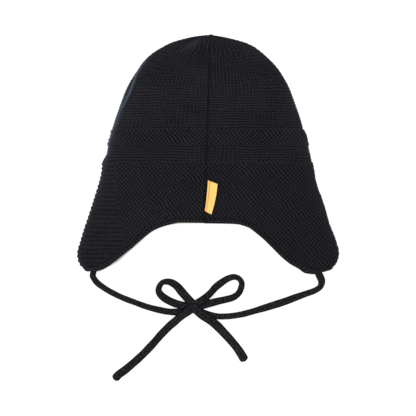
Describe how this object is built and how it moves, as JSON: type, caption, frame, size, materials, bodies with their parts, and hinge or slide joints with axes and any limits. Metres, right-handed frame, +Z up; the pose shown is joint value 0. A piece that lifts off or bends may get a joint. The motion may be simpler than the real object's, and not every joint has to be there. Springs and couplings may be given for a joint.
{
  "type": "baby hat",
  "caption": "Lined knitted baby hat with ear flaps, lying on its front, its tie cords tied in a bow below it",
  "frame": {"origin": "middle of the hat's own footprint, without the cords, on the surface that it lies on", "axes": "+X to the right as seen from above, +Y towards the crown tip, +Z up from the surface"},
  "size_m": [0.2345, 0.3111, 0.0388],
  "materials": {
    "navy_knit": "fine knitted wool, dark navy",
    "cream_jersey": "soft cotton jersey",
    "yellow_ribbon": "woven satin ribbon"
  },
  "bodies": {
    "root": {"knitted_body": "navy_knit", "lining": "cream_jersey", "seam_label": "yellow_ribbon", "tie_left": "navy_knit", "tie_right": "navy_knit", "bow_loop_left": "navy_knit", "bow_loop_right": "navy_knit", "tail_left": "navy_knit", "tail_right": "navy_knit", "bow_knot": "navy_knit"}
  },
  "joints": []
}
